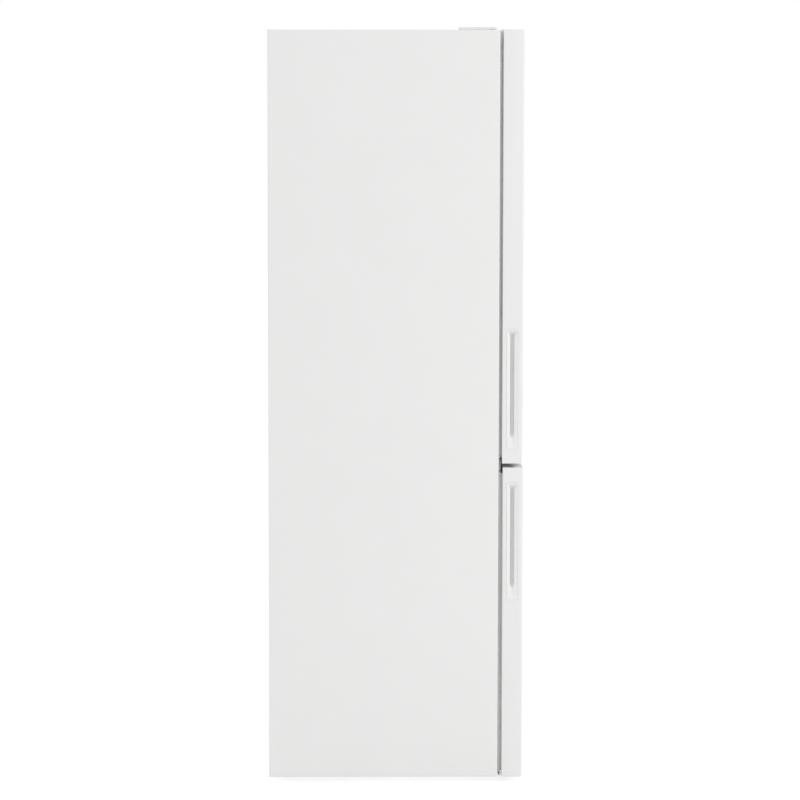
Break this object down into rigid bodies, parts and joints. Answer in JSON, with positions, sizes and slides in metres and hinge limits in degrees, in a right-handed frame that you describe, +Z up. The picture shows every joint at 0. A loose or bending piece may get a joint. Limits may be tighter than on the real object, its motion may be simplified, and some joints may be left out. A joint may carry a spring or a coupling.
{
  "type": "bottom freezer refrigerator",
  "caption": "Tall white refrigerator with a fridge door above and a freezer door below, edge grips, shelves, drawers, door bins and a rear machine room.",
  "frame": {"origin": "on the floor, under the middle of the closed refrigerator's outer box", "axes": "+X to the right of a person who faces the doors, +Y to the back, +Z up; the doors face -Y"},
  "size_m": [0.595, 0.6244, 1.86],
  "materials": {
    "painted_steel": "satin",
    "zinc_steel": "satin",
    "black_steel": "satin",
    "copper": "satin",
    "aluminium": "satin",
    "white_plastic": "satin",
    "grey_plastic": "matte",
    "dark_plastic": "matte",
    "clear_plastic": "gloss",
    "shelf_glass": "gloss",
    "gasket": "matte",
    "foam": "matte"
  },
  "bodies": {
    "cabinet": {"side_panel_left": "painted_steel", "side_panel_right": "painted_steel", "top_panel": "painted_steel", "back_panel": "painted_steel", "base_plate": "zinc_steel", "insulation_foam": "foam", "fridge_liner": "white_plastic", "freezer_liner": "white_plastic", "middle_crossbeam": "grey_plastic", "top_hinge": "zinc_steel", "top_hinge_cover": "white_plastic", "middle_hinge": "zinc_steel", "bottom_hinge": "zinc_steel", "shelf_lower": "shelf_glass", "shelf_middle": "shelf_glass", "shelf_upper": "shelf_glass", "crisper_lid": "shelf_glass", "fridge_air_duct": "white_plastic", "control_housing": "white_plastic", "lamp_lens": "clear_plastic", "freezer_duct_panel": "white_plastic", "evaporator": "aluminium", "fan_motor": "dark_plastic", "compressor_base": "zinc_steel", "rear_cover": "zinc_steel", "roller_axle_left": "zinc_steel", "roller_axle_right": "zinc_steel", "compressor": "black_steel", "relay_box": "dark_plastic", "discharge_pipe": "copper", "drip_tray": "dark_plastic"},
    "upper_door": {"upper_door_skin": "painted_steel", "upper_door_foam": "foam", "upper_door_liner": "white_plastic", "upper_door_cap_top": "white_plastic", "upper_door_cap_bottom": "white_plastic", "upper_door_gasket": "gasket", "upper_door_grip": "white_plastic", "door_bin_lower": "clear_plastic", "door_bin_middle": "clear_plastic", "door_bin_upper": "clear_plastic"},
    "lower_door": {"lower_door_skin": "painted_steel", "lower_door_foam": "foam", "lower_door_liner": "white_plastic", "lower_door_cap_top": "white_plastic", "lower_door_cap_bottom": "white_plastic", "lower_door_gasket": "gasket", "lower_door_grip": "white_plastic"},
    "crisper": {"crisper_drawer": "clear_plastic"},
    "freezer_drawer_bottom": {"freezer_drawer_lower": "clear_plastic"},
    "freezer_drawer_centre": {"freezer_drawer_middle": "clear_plastic"},
    "freezer_drawer_top": {"freezer_drawer_upper": "clear_plastic"},
    "left_foot": {"foot_left": "dark_plastic"},
    "right_foot": {"foot_right": "dark_plastic"},
    "left_roller": {"roller_left": "dark_plastic"},
    "right_roller": {"roller_right": "dark_plastic"},
    "fan": {"fan_impeller": "dark_plastic"},
    "thermostat_knob": {"control_knob": "grey_plastic"},
    "damper": {"damper_slider": "grey_plastic"}
  },
  "joints": [
    {"name": "upper_door_hinge", "type": "hinge", "parent": "cabinet", "child": "upper_door", "pos_m": [0.2795, -0.29375, 1.3], "axis": [0, 0, 1], "range_deg": [0, 130]},
    {"name": "lower_door_hinge", "type": "hinge", "parent": "cabinet", "child": "lower_door", "pos_m": [0.2795, -0.29375, 0.4], "axis": [0, 0, 1], "range_deg": [0, 130]},
    {"name": "crisper_slide", "type": "slide", "parent": "cabinet", "child": "crisper", "axis": [0, -1, 0], "range_m": [0, 0.227]},
    {"name": "freezer_lower_slide", "type": "slide", "parent": "cabinet", "child": "freezer_drawer_bottom", "axis": [0, -1, 0], "range_m": [0, 0.182]},
    {"name": "freezer_middle_slide", "type": "slide", "parent": "cabinet", "child": "freezer_drawer_centre", "axis": [0, -1, 0], "range_m": [0, 0.173]},
    {"name": "freezer_upper_slide", "type": "slide", "parent": "cabinet", "child": "freezer_drawer_top", "axis": [0, -1, 0], "range_m": [0, 0.164]},
    {"name": "left_foot_turn", "type": "hinge", "parent": "cabinet", "child": "left_foot", "pos_m": [-0.2055, -0.20575, 0], "axis": [0, 0, 1], "continuous": true},
    {"name": "right_foot_turn", "type": "hinge", "parent": "cabinet", "child": "right_foot", "pos_m": [0.2055, -0.20575, 0], "axis": [0, 0, 1], "continuous": true},
    {"name": "left_roller_spin", "type": "hinge", "parent": "cabinet", "child": "left_roller", "pos_m": [-0.2175, 0.27025, 0.014], "axis": [1, 0, 0], "continuous": true},
    {"name": "right_roller_spin", "type": "hinge", "parent": "cabinet", "child": "right_roller", "pos_m": [0.2175, 0.27025, 0.014], "axis": [1, 0, 0], "continuous": true},
    {"name": "fan_spin", "type": "hinge", "parent": "cabinet", "child": "fan", "pos_m": [0, 0.19655, 0.6735], "axis": [0, 1, 0], "continuous": true},
    {"name": "knob_turn", "type": "hinge", "parent": "cabinet", "child": "thermostat_knob", "pos_m": [0.068, -0.13775, 1.7797], "axis": [0, 1, 0], "range_deg": [0, 300]},
    {"name": "damper_slide", "type": "slide", "parent": "cabinet", "child": "damper", "axis": [1, 0, 0], "range_m": [-0.02, 0.02]}
  ],
  "couplings": [
    {"joint": "crisper_slide", "follows": "upper_door_hinge", "m_per_rad": 0.1},
    {"joint": "freezer_lower_slide", "follows": "lower_door_hinge", "m_per_rad": 0.08},
    {"joint": "freezer_middle_slide", "follows": "lower_door_hinge", "m_per_rad": 0.076},
    {"joint": "freezer_upper_slide", "follows": "lower_door_hinge", "m_per_rad": 0.072}
  ]
}
